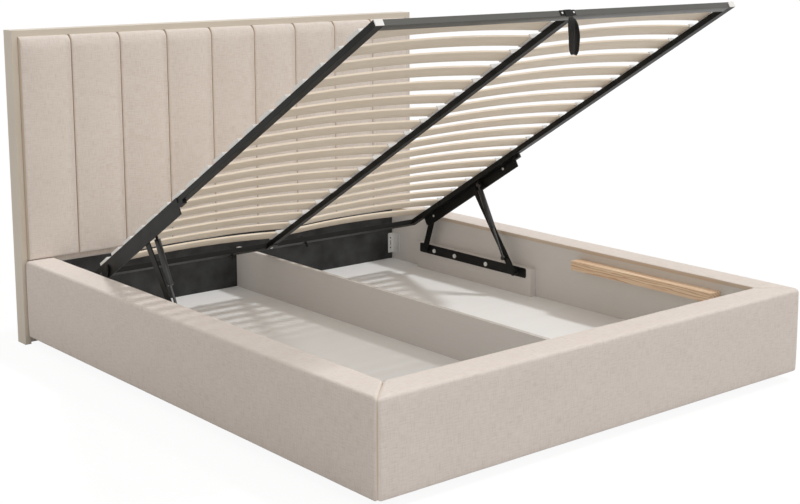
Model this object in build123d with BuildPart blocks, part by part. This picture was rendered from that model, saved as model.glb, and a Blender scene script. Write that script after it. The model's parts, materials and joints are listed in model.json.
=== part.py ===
# Upholstered storage bed with a gas-lift slat frame, modelled open.
# Millimetres. +X is the right-hand side seen from the foot, +Y points to the headboard, +Z is up.
# The origin is on the floor, under the middle of the bed.
from build123d import *
from math import atan2, cos, degrees, hypot, radians, sin
import os

os.makedirs("parts", exist_ok=True)

# Overall sizes
bed_half_width = 940
foot_to_headboard = 2140
rail_height = 326
rail_ground_gap = 31
rail_width = 112
headboard_overhang = 12
headboard_height = 1194
headboard_thickness = 66
overrun = 5
mating_gap = 0.3

headboard_half_width = bed_half_width + headboard_overhang
foot_y = -(foot_to_headboard + headboard_thickness) / 2
headboard_y = foot_y + foot_to_headboard
headboard_back_y = headboard_y + headboard_thickness
both_sides = (("left", -1), ("right", 1))


def save(piece, node):
    piece.part.label = node
    export_step(piece.part, f"parts/{node}.step")


def block(x, y, z):
    """A square-edged piece between three pairs of limits."""
    with BuildPart() as piece:
        with BuildSketch(Plane.XY.offset(z[0])):
            with Locations(((x[0] + x[1]) / 2, (y[0] + y[1]) / 2)):
                Rectangle(x[1] - x[0], y[1] - y[0])
        extrude(amount=z[1] - z[0])
    return piece


def side_span(side, inner, outer):
    """X limits, lowest first, of a piece between two distances from the middle."""
    return (inner, outer) if side > 0 else (-outer, -inner)


def side_plane(side, inner, outer):
    """The upright plane at the lower X limit of a piece. Sketch axes are Y and Z."""
    return Plane.YZ.offset(side_span(side, inner, outer)[0])


# Headboard: a smooth border frame round nine upright padded channels
trim_width = 24
trim_edge_radius = 2
channel_count = 9
back_board_thickness = 12
back_board_recess = 6
back_board_lift = 20
channel_rail_clearance = 2
channel_crown_proud = 22
channel_shoulder_proud = 14
channel_shoulder = 15
channel_end_radius = 14
lower_panel_recess = 2
lower_panel_lift = 4
quarter_turn_share = 1 - cos(radians(45))

panel_half_width = headboard_half_width - trim_width
panel_top = headboard_height - trim_width
back_board_y = headboard_back_y - back_board_recess - back_board_thickness
channel_width = 2 * panel_half_width / channel_count
channel_bottom = rail_height + channel_rail_clearance

for side_name, side in both_sides:
    post_x = side_span(side, panel_half_width, headboard_half_width)
    with BuildPart() as post:
        with BuildSketch(Plane.XY):
            with Locations((sum(post_x) / 2, headboard_y + headboard_thickness / 2)):
                Rectangle(trim_width, headboard_thickness)
        extrude(amount=headboard_height)
        outer_edges = post.edges().filter_by(Axis.Z).sort_by(Axis.X)
        fillet(outer_edges[-2:] if side > 0 else outer_edges[:2], trim_edge_radius)
    save(post, f"headboard_{side_name}_post")

with BuildPart() as top_rail:
    with BuildSketch(Plane.XY.offset(panel_top)):
        with Locations((0, headboard_y + headboard_thickness / 2)):
            Rectangle(2 * panel_half_width, headboard_thickness)
    extrude(amount=trim_width)
    fillet(top_rail.edges().filter_by(Axis.X).group_by(Axis.Z)[-1], trim_edge_radius)
save(top_rail, "headboard_top_rail")

back_board = block(
    (-panel_half_width, panel_half_width),
    (back_board_y, back_board_y + back_board_thickness),
    (back_board_lift, panel_top),
)
save(back_board, "headboard_back_board")

for number in range(channel_count):
    left_x = -panel_half_width + number * channel_width + mating_gap / 2
    right_x = left_x + channel_width - mating_gap
    crown_y = headboard_y - channel_crown_proud
    shoulder_y = headboard_y - channel_shoulder_proud
    side_y = shoulder_y + channel_shoulder
    shoulder_bend = channel_shoulder * quarter_turn_share
    with BuildPart() as channel:
        with BuildSketch(Plane.XY.offset(channel_bottom)):
            with BuildLine():
                Polyline(
                    (left_x, side_y),
                    (left_x, back_board_y),
                    (right_x, back_board_y),
                    (right_x, side_y),
                )
                ThreePointArc(
                    (right_x, side_y),
                    (right_x - shoulder_bend, shoulder_y + shoulder_bend),
                    (right_x - channel_shoulder, shoulder_y),
                )
                ThreePointArc(
                    (right_x - channel_shoulder, shoulder_y),
                    ((left_x + right_x) / 2, crown_y),
                    (left_x + channel_shoulder, shoulder_y),
                )
                ThreePointArc(
                    (left_x + channel_shoulder, shoulder_y),
                    (left_x + shoulder_bend, shoulder_y + shoulder_bend),
                    (left_x, side_y),
                )
            make_face()
        extrude(amount=panel_top - channel_bottom)
        crown_edges = channel.faces().sort_by(Axis.Y)[0].edges().sort_by(Axis.Z)
        fillet([crown_edges[0], crown_edges[-1]], channel_end_radius)
    save(channel, f"headboard_channel_{number + 1}")

lower_panel = block(
    (-panel_half_width, panel_half_width),
    (headboard_y + lower_panel_recess, back_board_y),
    (lower_panel_lift, channel_bottom),
)
save(lower_panel, "headboard_lower_panel")

# Rails: a padded cover over an angle of boards, with a laminated inner panel
pad_thickness = 15
cover_edge_radius = 16
cover_lip_radius = 4
cover_lip_thickness = 2
cover_lip_drop = 16
mitre_gap = 1
core_board = 18
inner_panel_bottom = 47
head_cross_board_thickness = 18
lining_thickness = 4

inner_panel_face = bed_half_width - rail_width + cover_lip_thickness
inner_panel_back = inner_panel_face + core_board
lip_bottom = rail_height - cover_lip_drop
core_top = rail_height - pad_thickness
foot_inner_y = foot_y + rail_width - cover_lip_thickness
foot_panel_back_y = foot_inner_y - core_board
cross_board_y = headboard_y - head_cross_board_thickness
lining_y = cross_board_y - lining_thickness
cover_bend = cover_edge_radius * quarter_turn_share
lip_bend = cover_lip_radius * quarter_turn_share


def cover_profile(plane):
    """Section of a padded cover. Sketch X runs outwards from the rail's inner lip."""
    with BuildSketch(plane) as section:
        with BuildLine():
            Polyline(
                (rail_width - pad_thickness, rail_ground_gap),
                (rail_width, rail_ground_gap),
                (rail_width, rail_height - cover_edge_radius),
            )
            ThreePointArc(
                (rail_width, rail_height - cover_edge_radius),
                (rail_width - cover_bend, rail_height - cover_bend),
                (rail_width - cover_edge_radius, rail_height),
            )
            Line((rail_width - cover_edge_radius, rail_height), (cover_lip_radius, rail_height))
            ThreePointArc(
                (cover_lip_radius, rail_height),
                (lip_bend, rail_height - lip_bend),
                (0, rail_height - cover_lip_radius),
            )
            Polyline(
                (0, rail_height - cover_lip_radius),
                (0, lip_bottom),
                (cover_lip_thickness, lip_bottom),
                (cover_lip_thickness, core_top),
                (rail_width - pad_thickness, core_top),
                (rail_width - pad_thickness, rail_ground_gap),
            )
        make_face()
    return section


def core_profile(plane):
    """Section of the outer board and the top board, glued into an angle."""
    with BuildSketch(plane) as section:
        with BuildLine():
            Polyline(
                (rail_width - pad_thickness, rail_ground_gap),
                (rail_width - pad_thickness, core_top),
                (cover_lip_thickness + core_board, core_top),
                (cover_lip_thickness + core_board, core_top - core_board),
                (rail_width - pad_thickness - core_board, core_top - core_board),
                (rail_width - pad_thickness - core_board, rail_ground_gap),
                close=True,
            )
        make_face()
    return section


rail_inner_half = bed_half_width - rail_width
corner_shift = mitre_gap / 2

for side_name, side in both_sides:
    section_plane = Plane(
        origin=(side * rail_inner_half, headboard_y, 0), x_dir=(side, 0, 0), z_dir=(0, -side, 0)
    )
    with BuildPart() as rail_cover:
        extrude(cover_profile(section_plane).sketch, amount=side * foot_to_headboard)
        mitre = Plane(
            origin=(side * bed_half_width, foot_y + corner_shift, 0),
            x_dir=(0, 0, 1),
            z_dir=(side, 1, 0),
        )
        split(bisect_by=mitre, keep=Keep.TOP)
    save(rail_cover, f"{side_name}_rail_cover")

    with BuildPart() as rail_core:
        extrude(core_profile(section_plane).sketch, amount=side * (foot_to_headboard - pad_thickness))
    save(rail_core, f"{side_name}_rail_core")

    inner_panel = block(
        side_span(side, inner_panel_face, inner_panel_back),
        (foot_inner_y, cross_board_y),
        (inner_panel_bottom, core_top),
    )
    save(inner_panel, f"{side_name}_inner_panel")

foot_section_plane = Plane(
    origin=(bed_half_width, foot_y + rail_width, 0), x_dir=(0, -1, 0), z_dir=(-1, 0, 0)
)
with BuildPart() as foot_cover:
    extrude(cover_profile(foot_section_plane).sketch, amount=2 * bed_half_width)
    for side_name, side in both_sides:
        mitre = Plane(
            origin=(side * (bed_half_width - corner_shift), foot_y, 0),
            x_dir=(0, 0, 1),
            z_dir=(-side, -1, 0),
        )
        split(bisect_by=mitre, keep=Keep.TOP)
save(foot_cover, "foot_rail_cover")

foot_core_plane = foot_section_plane.offset(bed_half_width - inner_panel_back)
with BuildPart() as foot_core:
    extrude(core_profile(foot_core_plane).sketch, amount=2 * inner_panel_back)
save(foot_core, "foot_rail_core")

foot_inner_panel = block(
    (-inner_panel_back, inner_panel_back),
    (foot_panel_back_y, foot_inner_y),
    (inner_panel_bottom, core_top),
)
save(foot_inner_panel, "foot_inner_panel")

head_cross_board = block(
    (-inner_panel_back, inner_panel_back), (cross_board_y, headboard_y), (inner_panel_bottom, lip_bottom)
)
save(head_cross_board, "head_cross_board")

# Storage base: floor panels on battens, a middle divider and a dark lining at the head end
floor_top = 85
floor_thickness = 8
floor_batten_height = 30
floor_batten_width = 70
floor_batten_count = 4
divider_thickness = 18
divider_top = 253
foot_radius = 20
side_foot_count = 4

floor_bottom = floor_top - floor_thickness
batten_bottom = floor_bottom - floor_batten_height
divider_half = divider_thickness / 2

head_lining = block(
    (-rail_inner_half, rail_inner_half), (lining_y, cross_board_y), (floor_top, lip_bottom)
)
save(head_lining, "head_lining")

centre_divider = block(
    (-divider_half, divider_half), (foot_inner_y, lining_y), (floor_bottom, divider_top)
)
save(centre_divider, "centre_divider")

for side_name, side in both_sides:
    floor_panel = block(
        side_span(side, divider_half, inner_panel_face),
        (foot_inner_y, cross_board_y),
        (floor_bottom, floor_top),
    )
    save(floor_panel, f"{side_name}_floor_panel")

floor_length = cross_board_y - foot_inner_y
batten_pitch = floor_length / floor_batten_count
batten_rows = [foot_inner_y + (row + 0.5) * batten_pitch for row in range(floor_batten_count)]
with BuildPart() as floor_battens:
    with BuildSketch(Plane.XY.offset(batten_bottom)):
        with Locations(*[(0, row_y) for row_y in batten_rows]):
            Rectangle(2 * inner_panel_face, floor_batten_width)
    extrude(amount=floor_batten_height)
save(floor_battens, "floor_battens")

side_foot_x = inner_panel_face + core_board / 2
side_foot_inset = 2 * foot_radius
side_foot_run = floor_length - 2 * side_foot_inset
with BuildPart() as feet:
    with BuildSketch(Plane.XY):
        with Locations((0, foot_inner_y + floor_length / 2)):
            with GridLocations(2 * side_foot_x, side_foot_run / (side_foot_count - 1), 2, side_foot_count):
                Circle(foot_radius)
    extrude(amount=inner_panel_bottom)
    with BuildSketch(Plane.XY):
        with Locations(*[(0, row_y) for row_y in batten_rows]):
            Circle(foot_radius)
    extrude(amount=batten_bottom)
save(feet, "feet")

# Pine battens that the closed slat frame rests on
support_batten_width = 56
support_batten_height = 37
support_batten_top = 285
support_batten_foot_gap = 148
support_batten_length = 685

for side_name, side in both_sides:
    batten_y = foot_inner_y + support_batten_foot_gap
    support_batten = block(
        side_span(side, inner_panel_face - support_batten_width, inner_panel_face),
        (batten_y, batten_y + support_batten_length),
        (support_batten_top - support_batten_height, support_batten_top),
    )
    save(support_batten, f"{side_name}_support_batten")

# Slat frame placement: open as shown, and closed on the battens
open_tilt = 31
open_head_gap = 242.8
open_head_height = 277.2
closed_foot_gap = 8
closed_head_gap = 18
closed_side_gap = 49
rest_clearance = 0.5

frame_half_width = rail_inner_half - closed_side_gap
closed_foot_y = foot_y + rail_width + closed_foot_gap
closed_foot_z = support_batten_top + rest_clearance
frame_length = lining_y - closed_head_gap - closed_foot_y
tilt_cos = cos(radians(open_tilt))
tilt_sin = sin(radians(open_tilt))
open_foot_y = headboard_y - open_head_gap - frame_length * tilt_cos
open_foot_z = open_head_height + frame_length * tilt_sin
along_frame = (0, tilt_cos, -tilt_sin)
off_frame = (0, tilt_sin, tilt_cos)


def open_point(along, above):
    """Y and Z, frame open, of a place measured along the frame and above its underside."""
    return (
        open_foot_y + along * tilt_cos + above * tilt_sin,
        open_foot_z - along * tilt_sin + above * tilt_cos,
    )


def closed_point(along, above):
    return (closed_foot_y + along, closed_foot_z + above)


def base_pivot(along, above, height):
    """Y and Z of a fixed pivot at a given height, equally far from the open and the closed place."""
    open_yz = open_point(along, above)
    closed_yz = closed_point(along, above)
    run = closed_yz[0] - open_yz[0]
    rise = closed_yz[1] - open_yz[1]
    middle_y = (open_yz[0] + closed_yz[0]) / 2
    middle_z = (open_yz[1] + closed_yz[1]) / 2
    return (middle_y - (height - middle_z) * rise / run, height)


def frame_plane(above):
    """Parallel to the slat frame. Sketch Y runs along it to the head end."""
    lift = tuple(above * part for part in off_frame)
    origin = (0, open_foot_y + lift[1], open_foot_z + lift[2])
    return Plane(origin=origin, x_dir=(1, 0, 0), z_dir=off_frame)


def frame_side_plane(x):
    """Upright and square to X. Sketch X runs along the frame, sketch Y above it."""
    return Plane(origin=(x, open_foot_y, open_foot_z), x_dir=along_frame, z_dir=(1, 0, 0))


def frame_end_plane(x):
    """Square to the slat frame's length, at its foot end. Sketch Y runs above the frame's underside."""
    return Plane(origin=(x, open_foot_y, open_foot_z), x_dir=(-1, 0, 0), z_dir=along_frame)


# Slat frame tubes
tube_width = 30
tube_height = 20
tube_wall = 1.5
centre_tube_width = 26
plug_cap = 3
plug_stem = 18
plug_clearance = 0.2

side_tube_inner = frame_half_width - tube_width


def tube_along(x):
    """A hollow rail the whole length of the slat frame."""
    with BuildPart() as tube:
        with BuildSketch(frame_end_plane((x[0] + x[1]) / 2)):
            with Locations((0, tube_height / 2)):
                Rectangle(x[1] - x[0], tube_height)
                Rectangle(x[1] - x[0] - 2 * tube_wall, tube_height - 2 * tube_wall, mode=Mode.SUBTRACT)
        extrude(amount=frame_length)
    return tube


def tube_across(start):
    """A hollow bar between the two side tubes."""
    with BuildPart() as tube:
        with BuildSketch(frame_side_plane(-side_tube_inner)):
            with Locations((start + tube_width / 2, tube_height / 2)):
                Rectangle(tube_width, tube_height)
                Rectangle(tube_width - 2 * tube_wall, tube_height - 2 * tube_wall, mode=Mode.SUBTRACT)
        extrude(amount=2 * side_tube_inner)
    return tube


for side_name, side in both_sides:
    save(tube_along(side_span(side, side_tube_inner, frame_half_width)), f"frame_{side_name}_rail")
save(tube_across(0), "frame_foot_bar")
save(tube_across(frame_length - tube_width), "frame_head_bar")

with BuildPart() as centre_rail:
    with BuildSketch(frame_end_plane(0).offset(tube_width)):
        with Locations((0, tube_height / 2)):
            Rectangle(centre_tube_width, tube_height)
            Rectangle(centre_tube_width - 2 * tube_wall, tube_height - 2 * tube_wall, mode=Mode.SUBTRACT)
    extrude(amount=frame_length - 2 * tube_width)
save(centre_rail, "frame_centre_rail")

plug_inset = tube_wall + plug_clearance
with BuildPart() as end_plugs:
    for side_name, side in both_sides:
        plug_x = side * (side_tube_inner + tube_width / 2)
        with BuildSketch(frame_end_plane(plug_x)):
            with Locations((0, tube_height / 2)):
                Rectangle(tube_width - 2 * plug_inset, tube_height - 2 * plug_inset)
        extrude(amount=plug_stem)
        with BuildSketch(frame_end_plane(plug_x).offset(-plug_cap)):
            with Locations((0, tube_height / 2)):
                Rectangle(tube_width, tube_height)
        extrude(amount=plug_cap)
save(end_plugs, "rail_end_plugs")

# Sprung slats in two banks, and their plastic holders on top of the tubes
slat_count = 18
first_slat = 110
last_slat_from_head = 101
slat_width = 60
slat_thickness = 8
slat_bow = 14
holder_height = 14.5
holder_base = 2.5
holder_roof = 1.5
holder_edge = 2
holder_reach = 28
holder_inset = 4
holder_centre_half = 24
holder_web = 8
slat_end_gap = 4
slat_seat = tube_height + holder_base + mating_gap

slat_pitch = (frame_length - first_slat - last_slat_from_head) / (slat_count - 1)
holder_side_inner = frame_half_width - holder_reach
holder_side_outer = frame_half_width - holder_inset
slat_rows = [first_slat + row * slat_pitch for row in range(slat_count)]
slat_inner_x = holder_web / 2 + slat_end_gap
slat_outer_x = holder_side_outer - holder_web / 2 - slat_end_gap

for side_name, side in both_sides:
    with BuildPart() as slats:
        for row in slat_rows:
            slat_foot_edge = open_point(row - slat_width / 2, slat_seat)
            slat_plane = Plane(origin=(0, *slat_foot_edge), x_dir=(-1, 0, 0), z_dir=along_frame)
            with BuildSketch(slat_plane):
                with BuildLine():
                    inner = -side * slat_inner_x
                    outer = -side * slat_outer_x
                    middle = (inner + outer) / 2
                    ThreePointArc((inner, 0), (middle, slat_bow), (outer, 0))
                    Line((outer, 0), (outer, slat_thickness))
                    ThreePointArc(
                        (outer, slat_thickness), (middle, slat_bow + slat_thickness), (inner, slat_thickness)
                    )
                    Line((inner, slat_thickness), (inner, 0))
                make_face()
            extrude(amount=slat_width)
    save(slats, f"{side_name}_slats")

holder_length = slat_width + 2 * mating_gap + 2 * holder_edge
pocket_bottom = tube_height + holder_base
pocket_height = holder_height - holder_base - holder_roof
with BuildPart() as holders:
    side_mid = (holder_side_inner + holder_side_outer) / 2
    side_width = holder_side_outer - holder_side_inner
    holder_places = [(side_x, row) for row in slat_rows for side_x in (-side_mid, side_mid)]
    centre_places = [(0, row) for row in slat_rows]
    with BuildSketch(frame_plane(tube_height)):
        with Locations(*holder_places):
            Rectangle(side_width, holder_length)
        with Locations(*centre_places):
            Rectangle(2 * holder_centre_half, holder_length)
    extrude(amount=holder_height)
    pocket_depth = side_width - holder_web / 2
    pocket_shift = holder_web / 2 + overrun
    centre_pocket_depth = holder_centre_half - holder_web / 2
    with BuildSketch(frame_plane(pocket_bottom)):
        for side_name, side in both_sides:
            with Locations(*[(side * (side_mid - pocket_shift / 2), row) for row in slat_rows]):
                Rectangle(pocket_depth + overrun, slat_width + 2 * mating_gap)
            centre_mid = side * (holder_web / 2 + (centre_pocket_depth + overrun) / 2)
            with Locations(*[(centre_mid, row) for row in slat_rows]):
                Rectangle(centre_pocket_depth + overrun, slat_width + 2 * mating_gap)
    extrude(amount=pocket_height, mode=Mode.SUBTRACT)
save(holders, "slat_holders")

# Lift mechanism, the same on both sides: two links from base plate to frame bracket, a gas strut on the front one
rear_pivot_from_head = 130
rear_pivot_drop = 8
front_pivot_from_head = 448
front_pivot_drop = 17
strut_pivot_from_head = 495
strut_pivot_drop = 17
base_pivot_height = 179
strut_stud_up_link = 68

rear_pivot_along = frame_length - rear_pivot_from_head
front_pivot_along = frame_length - front_pivot_from_head
strut_pivot_along = frame_length - strut_pivot_from_head
rear_base = base_pivot(rear_pivot_along, -rear_pivot_drop, base_pivot_height)
front_base = base_pivot(front_pivot_along, -front_pivot_drop, base_pivot_height)
rear_top = open_point(rear_pivot_along, -rear_pivot_drop)
front_top = open_point(front_pivot_along, -front_pivot_drop)
strut_top = open_point(strut_pivot_along, -strut_pivot_drop)


def strut_stud(link_top):
    """Y and Z of the stud on the front link, for a given place of the link's top pivot."""
    run = link_top[0] - front_base[0]
    rise = link_top[1] - front_base[1]
    share = strut_stud_up_link / hypot(run, rise)
    return (front_base[0] + share * run, front_base[1] + share * rise)


strut_base = strut_stud(front_top)

# Distances from the middle of the bed, from the frame tube out to the spacer board
bracket_inner = frame_half_width
bracket_thickness = 3
bracket_outer = bracket_inner + bracket_thickness
link_thickness = 4.5
link_width = 30
layer_gap = 0.5
front_link_outer = bracket_inner - layer_gap
front_link_inner = front_link_outer - link_thickness
rear_link_gap = 1.5
rear_link_inner = bracket_outer + rear_link_gap
rear_link_outer = rear_link_inner + link_thickness
spacer_thickness = 28
spacer_inner = inner_panel_face - spacer_thickness
base_plate_thickness = 4
base_plate_inner = spacer_inner - base_plate_thickness
pin_radius = 6
pin_clearance = 0.05
pin_head_radius = 9
pin_head_height = 2
collar_radius = 9
strut_inset = 19
strut_x = frame_half_width - strut_inset
stud_radius = 4
socket_radius = 9
socket_length = 14
lug_thickness = 3
lug_width = 18
lug_inner = strut_x + socket_length / 2 + 2 * layer_gap

# Base plate, screwed to a spacer board on the inner panel
spacer_foot_margin = 27
spacer_head_margin = 22
spacer_top = 199
plate_foot_reach = 50
plate_head_reach = 50
plate_height = 40
plate_corner_radius = 7
bolt_shank_radius = 4
bolt_hole_radius = 4.3
bolt_head_radius = 9
bolt_head_height = 4
bolt_row_height = 177
bolt_shares = (0.356, 0.652, 0.853)

plate_top = spacer_top
plate_bottom = plate_top - plate_height
plate_foot_end = front_base[0] - plate_foot_reach
plate_head_end = rear_base[0] + plate_head_reach
plate_length = plate_head_end - plate_foot_end
spacer_foot_end = plate_foot_end - spacer_foot_margin
spacer_head_end = plate_head_end + spacer_head_margin
bolt_places = [plate_foot_end + share * plate_length for share in bolt_shares]

for side_name, side in both_sides:
    with BuildPart() as spacer:
        with BuildSketch(side_plane(side, spacer_inner, inner_panel_face)):
            with Locations(((spacer_foot_end + spacer_head_end) / 2, (floor_top + spacer_top) / 2)):
                Rectangle(spacer_head_end - spacer_foot_end, spacer_top - floor_top)
            with Locations(*[(bolt_y, bolt_row_height) for bolt_y in bolt_places]):
                Circle(bolt_hole_radius, mode=Mode.SUBTRACT)
        extrude(amount=spacer_thickness)
    save(spacer, f"{side_name}_mechanism_spacer")

    with BuildPart() as base_plate:
        with BuildSketch(side_plane(side, base_plate_inner, spacer_inner)):
            with Locations(((plate_foot_end + plate_head_end) / 2, (plate_bottom + plate_top) / 2)):
                RectangleRounded(plate_length, plate_height, plate_corner_radius)
            with Locations(*[(bolt_y, bolt_row_height) for bolt_y in bolt_places]):
                Circle(bolt_hole_radius, mode=Mode.SUBTRACT)
        extrude(amount=base_plate_thickness)
        # Each pivot: a collar up to the link, the pin through it and a flat head beyond
        for pivot, link_outer, link_inner in (
            (rear_base, rear_link_outer, rear_link_inner),
            (front_base, front_link_outer, front_link_inner),
        ):
            head_outer = link_inner - layer_gap
            head_inner = head_outer - pin_head_height
            steps = (
                (collar_radius, link_outer + layer_gap, base_plate_inner),
                (pin_radius, head_inner, base_plate_inner),
                (pin_head_radius, head_inner, head_outer),
            )
            for radius, near, far in steps:
                with BuildSketch(side_plane(side, near, far)):
                    with Locations(pivot):
                        Circle(radius)
                extrude(amount=far - near)
    save(base_plate, f"{side_name}_base_plate")

with BuildPart() as base_bolts:
    for side_name, side in both_sides:
        for radius, near, far in (
            (bolt_head_radius, base_plate_inner - bolt_head_height, base_plate_inner),
            (bolt_shank_radius, base_plate_inner, inner_panel_face),
        ):
            with BuildSketch(side_plane(side, near, far)):
                with Locations(*[(bolt_y, bolt_row_height) for bolt_y in bolt_places]):
                    Circle(radius)
            extrude(amount=far - near)
save(base_bolts, "base_bolts")


def link_sketch(start, end, hole_at):
    """Flat bar with round ends between two pivots."""
    run = end[0] - start[0]
    rise = end[1] - start[1]
    with Locations(((start[0] + end[0]) / 2, (start[1] + end[1]) / 2)):
        SlotCenterToCenter(hypot(run, rise), link_width, rotation=degrees(atan2(rise, run)))
    with Locations(*hole_at):
        Circle(pin_radius + pin_clearance, mode=Mode.SUBTRACT)


# The rear link's top rivet stops short of the bracket
rivet_stub = bracket_outer + layer_gap
for side_name, side in both_sides:
    with BuildPart() as front_link:
        with BuildSketch(side_plane(side, front_link_inner, front_link_outer)):
            link_sketch(front_base, front_top, [front_base, front_top])
        extrude(amount=link_thickness)
        stud_inner = strut_x - stud_radius
        with BuildSketch(side_plane(side, stud_inner, front_link_inner)):
            with Locations(strut_base):
                Circle(stud_radius)
        extrude(amount=front_link_inner - stud_inner)
    save(front_link, f"{side_name}_front_link")

    with BuildPart() as rear_link:
        with BuildSketch(side_plane(side, rear_link_inner, rear_link_outer)):
            link_sketch(rear_base, rear_top, [rear_base])
        extrude(amount=link_thickness)
        for near, far, radius in (
            (rivet_stub, rear_link_inner, pin_radius),
            (rear_link_outer, rear_link_outer + pin_head_height, pin_head_radius),
        ):
            with BuildSketch(side_plane(side, near, far)):
                with Locations(rear_top):
                    Circle(radius)
            extrude(amount=far - near)
    save(rear_link, f"{side_name}_rear_link")

# Frame brackets: an upright plate outside each side tube
bracket_length = 655
bracket_head_margin = 75
bracket_drop = 40
bracket_corner_cut = 12
bracket_tab_length = 34
bracket_tab_height = 14
bracket_tab_width = 12

bracket_head_end = frame_length - bracket_head_margin
bracket_foot_end = bracket_head_end - bracket_length
bracket_tab_start = bracket_foot_end - bracket_tab_length
pin_length = front_link_inner - layer_gap - pin_head_height

for side_name, side in both_sides:
    with BuildPart() as bracket:
        near_x = side_span(side, bracket_inner, bracket_outer)[0]
        with BuildSketch(frame_side_plane(near_x)):
            with BuildLine():
                Polyline(
                    (bracket_foot_end, tube_height),
                    (bracket_head_end, tube_height),
                    (bracket_head_end, bracket_corner_cut - bracket_drop),
                    (bracket_head_end - bracket_corner_cut, -bracket_drop),
                    (bracket_foot_end, -bracket_drop),
                    close=True,
                )
            make_face()
        extrude(amount=bracket_thickness)
        # Tab bent in under the tube at the foot end
        tab_x = side_span(side, bracket_inner - bracket_tab_width, bracket_outer)
        tab_run = bracket_tab_length + overrun
        with BuildSketch(frame_side_plane(tab_x[0])):
            with Locations((bracket_tab_start + tab_run / 2, -mating_gap - bracket_tab_height / 2)):
                Rectangle(tab_run, bracket_tab_height)
        extrude(amount=tab_x[1] - tab_x[0])
        # Lug under the tube, reached by a flange, for the gas strut's top end
        lug_depth = strut_pivot_drop + socket_radius
        for near, far, depth in (
            (lug_inner, lug_inner + lug_thickness, lug_depth),
            (lug_inner, bracket_outer, lug_thickness),
        ):
            lug_x = side_span(side, near, far)
            with BuildSketch(frame_side_plane(lug_x[0])):
                with Locations((strut_pivot_along, -mating_gap - depth / 2)):
                    Rectangle(lug_width, depth)
            extrude(amount=far - near)
        for radius, near, far in (
            (pin_radius, pin_length, bracket_inner),
            (pin_head_radius, pin_length, pin_length + pin_head_height),
        ):
            with BuildSketch(side_plane(side, near, far)):
                with Locations(front_top):
                    Circle(radius)
            extrude(amount=far - near)
        # Low rivet heads on the outside, one at the front pivot and one at the strut's
        with BuildSketch(side_plane(side, bracket_outer, bracket_outer + layer_gap)):
            with Locations(front_top, strut_top):
                Circle(stud_radius)
        extrude(amount=layer_gap)
    save(bracket, f"{side_name}_frame_bracket")

# Gas struts: a rod on the front link's stud, sliding in a cylinder that reaches the frame bracket's lug
rod_radius = 5
rod_length = 155
piston_radius = 7.8
piston_length = 8
cylinder_radius = 11
cylinder_bore_radius = 8
cylinder_length = 168
cylinder_end_wall = 6
cylinder_neck_radius = 5
cylinder_neck_length = 24
slide_clearance = 0.05

strut_run = strut_top[0] - strut_base[0]
strut_rise = strut_top[1] - strut_base[1]
strut_length = hypot(strut_run, strut_rise)
strut_direction = (0, strut_run / strut_length, strut_rise / strut_length)
cylinder_start = strut_length - cylinder_neck_length - cylinder_length
stub_end = lug_inner - layer_gap

for side_name, side in both_sides:
    strut_plane = Plane(origin=(side * strut_x, *strut_base), x_dir=(1, 0, 0), z_dir=strut_direction)
    with BuildPart() as gas_rod:
        socket_inner = strut_x - socket_length / 2
        with BuildSketch(side_plane(side, socket_inner, socket_inner + socket_length)):
            with Locations(strut_base):
                Circle(socket_radius)
        extrude(amount=socket_length)
        with BuildSketch(strut_plane):
            Circle(rod_radius)
        extrude(amount=rod_length)
        with BuildSketch(strut_plane.offset(rod_length - piston_length)):
            Circle(piston_radius)
        extrude(amount=piston_length)
        # Blind hole for the front link's stud
        stud_end = strut_x - stud_radius - slide_clearance
        with BuildSketch(side_plane(side, stud_end, front_link_inner)):
            with Locations(strut_base):
                Circle(stud_radius + slide_clearance)
        extrude(amount=front_link_inner - stud_end, mode=Mode.SUBTRACT)
    save(gas_rod, f"{side_name}_gas_rod")

    with BuildPart() as gas_cylinder:
        with BuildSketch(strut_plane.offset(cylinder_start)):
            Circle(cylinder_radius)
        extrude(amount=cylinder_length)
        with BuildSketch(strut_plane.offset(cylinder_start + cylinder_end_wall)):
            Circle(cylinder_bore_radius)
        extrude(amount=cylinder_length - 2 * cylinder_end_wall, mode=Mode.SUBTRACT)
        with BuildSketch(strut_plane.offset(cylinder_start - overrun)):
            Circle(rod_radius + slide_clearance)
        extrude(amount=cylinder_end_wall + 2 * overrun, mode=Mode.SUBTRACT)
        with BuildSketch(strut_plane.offset(cylinder_start + cylinder_length)):
            Circle(cylinder_neck_radius)
        extrude(amount=cylinder_neck_length)
        for radius, near, far in (
            (socket_radius, strut_x - socket_length / 2, strut_x + socket_length / 2),
            (stud_radius, strut_x, stub_end),
        ):
            with BuildSketch(side_plane(side, near, far)):
                with Locations(strut_top):
                    Circle(radius)
            extrude(amount=far - near)
    save(gas_cylinder, f"{side_name}_gas_cylinder")

# Stamped corner brackets between the lining and the inner panels
corner_leg_head = 26
corner_leg_side = 50
corner_bottom = 112
corner_top = 202
corner_sheet = 2
corner_hole_radius = 4
corner_slot_length = 22

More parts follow.
